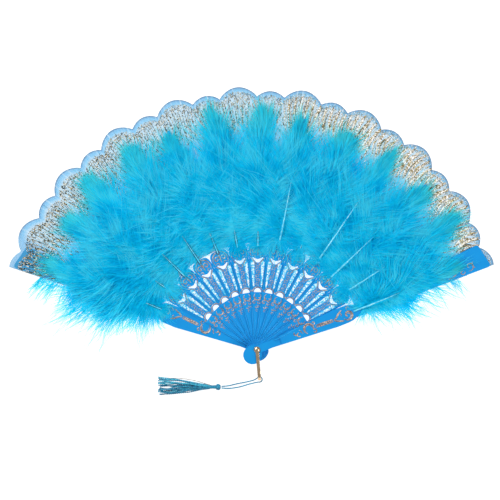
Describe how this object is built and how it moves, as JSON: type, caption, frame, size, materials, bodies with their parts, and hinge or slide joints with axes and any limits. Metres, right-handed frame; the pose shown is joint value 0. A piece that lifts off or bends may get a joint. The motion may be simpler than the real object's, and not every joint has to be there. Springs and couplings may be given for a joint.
{
  "type": "folding feather fan",
  "caption": "Folding hand fan, spread open: pierced plastic sticks on a rivet, scalloped cloth leaf, marabou feathers, and a tassel on a metal bail.",
  "frame": {"origin": "on the rivet's axis, at the underside of the rivet's cap, which lies in the plane that the fan rests on", "axes": "+Z out of the front of the fan, up as it lies on its back; +Y along the middle stick, away from the rivet; +X towards the front guard on the right"},
  "size_m": [0.4211, 0.2686, 0.0234],
  "materials": {
    "stick_plastic": "moulded, gloss, with gilt and silver ornament",
    "leaf_cloth": "thin satin cloth with gold glitter embroidery",
    "feather": "dyed marabou down",
    "gold_metal": "gold plated, polished",
    "tassel_yarn": "rayon threads"
  },
  "bodies": {
    "back_guard": {"back_guard": "stick_plastic", "feather_back_guard": "feather", "fringe_left": "feather", "rivet": "gold_metal", "rivet_cap": "gold_metal"},
    "stick_01": {"stick_01": "stick_plastic", "feather_01": "feather", "leaf_panel_01": "leaf_cloth"},
    "stick_02": {"stick_02": "stick_plastic", "feather_02": "feather", "leaf_panel_02": "leaf_cloth"},
    "stick_03": {"stick_03": "stick_plastic", "feather_03": "feather", "leaf_panel_03": "leaf_cloth"},
    "stick_04": {"stick_04": "stick_plastic", "feather_04": "feather", "leaf_panel_04": "leaf_cloth"},
    "stick_05": {"stick_05": "stick_plastic", "feather_05": "feather", "leaf_panel_05": "leaf_cloth"},
    "stick_06": {"stick_06": "stick_plastic", "feather_06": "feather", "leaf_panel_06": "leaf_cloth"},
    "stick_07": {"stick_07": "stick_plastic", "feather_07": "feather", "leaf_panel_07": "leaf_cloth"},
    "stick_08": {"stick_08": "stick_plastic", "feather_08": "feather", "leaf_panel_08": "leaf_cloth"},
    "stick_09": {"stick_09": "stick_plastic", "feather_09": "feather", "leaf_panel_09": "leaf_cloth"},
    "stick_10": {"stick_10": "stick_plastic", "feather_10": "feather", "leaf_panel_10": "leaf_cloth"},
    "stick_11": {"stick_11": "stick_plastic", "feather_11": "feather", "leaf_panel_11": "leaf_cloth"},
    "front_guard": {"front_guard": "stick_plastic", "feather_front_guard": "feather", "leaf_panel_12": "leaf_cloth", "fringe_right": "feather"},
    "bail": {"bail": "gold_metal"},
    "tassel": {"tassel_cord": "tassel_yarn", "tassel_knot": "tassel_yarn", "tassel_skirt": "tassel_yarn"}
  },
  "joints": [
    {"name": "fold_01", "type": "hinge", "parent": "back_guard", "child": "stick_01", "pos_m": [0, 0, 0], "axis": [0, 0, 1], "range_deg": [0, 11.3], "deforming": ["feather_back_guard", "fringe_left"]},
    {"name": "fold_02", "type": "hinge", "parent": "stick_01", "child": "stick_02", "pos_m": [0, 0, 0], "axis": [0, 0, 1], "range_deg": [0, 11.3], "deforming": ["feather_01"]},
    {"name": "fold_03", "type": "hinge", "parent": "stick_02", "child": "stick_03", "pos_m": [0, 0, 0], "axis": [0, 0, 1], "range_deg": [0, 11.3], "deforming": ["feather_02"]},
    {"name": "fold_04", "type": "hinge", "parent": "stick_03", "child": "stick_04", "pos_m": [0, 0, 0], "axis": [0, 0, 1], "range_deg": [0, 11.3], "deforming": ["feather_03"]},
    {"name": "fold_05", "type": "hinge", "parent": "stick_04", "child": "stick_05", "pos_m": [0, 0, 0], "axis": [0, 0, 1], "range_deg": [0, 11.3], "deforming": ["feather_04"]},
    {"name": "fold_06", "type": "hinge", "parent": "stick_05", "child": "stick_06", "pos_m": [0, 0, 0], "axis": [0, 0, 1], "range_deg": [0, 11.3], "deforming": ["feather_05"]},
    {"name": "fold_07", "type": "hinge", "parent": "stick_06", "child": "stick_07", "pos_m": [0, 0, 0], "axis": [0, 0, 1], "range_deg": [0, 11.3], "deforming": ["feather_06"]},
    {"name": "fold_08", "type": "hinge", "parent": "stick_07", "child": "stick_08", "pos_m": [0, 0, 0], "axis": [0, 0, 1], "range_deg": [0, 11.3], "deforming": ["feather_07"]},
    {"name": "fold_09", "type": "hinge", "parent": "stick_08", "child": "stick_09", "pos_m": [0, 0, 0], "axis": [0, 0, 1], "range_deg": [0, 11.3], "deforming": ["feather_08"]},
    {"name": "fold_10", "type": "hinge", "parent": "stick_09", "child": "stick_10", "pos_m": [0, 0, 0], "axis": [0, 0, 1], "range_deg": [0, 11.3], "deforming": ["feather_09"]},
    {"name": "fold_11", "type": "hinge", "parent": "stick_10", "child": "stick_11", "pos_m": [0, 0, 0], "axis": [0, 0, 1], "range_deg": [0, 11.3], "deforming": ["feather_10"]},
    {"name": "fold_12", "type": "hinge", "parent": "stick_11", "child": "front_guard", "pos_m": [0, 0, 0], "axis": [0, 0, 1], "range_deg": [0, 11.3], "deforming": ["feather_11"]},
    {"name": "bail_swing", "type": "hinge", "parent": "back_guard", "child": "bail", "pos_m": [0, 0, 0], "axis": [0, 0, 1], "range_deg": [-10, 70]},
    {"name": "tassel_swing", "type": "hinge", "parent": "bail", "child": "tassel", "pos_m": [0.00245, -0.02625, 0], "axis": [0, 0, 1], "range_deg": [-8, 120]}
  ],
  "couplings": [
    {"joint": "fold_02", "follows": "fold_01", "ratio": 1},
    {"joint": "fold_03", "follows": "fold_01", "ratio": 1},
    {"joint": "fold_04", "follows": "fold_01", "ratio": 1},
    {"joint": "fold_05", "follows": "fold_01", "ratio": 1},
    {"joint": "fold_06", "follows": "fold_01", "ratio": 1},
    {"joint": "fold_07", "follows": "fold_01", "ratio": 1},
    {"joint": "fold_08", "follows": "fold_01", "ratio": 1},
    {"joint": "fold_09", "follows": "fold_01", "ratio": 1},
    {"joint": "fold_10", "follows": "fold_01", "ratio": 1},
    {"joint": "fold_11", "follows": "fold_01", "ratio": 1},
    {"joint": "fold_12", "follows": "fold_01", "ratio": 1}
  ]
}
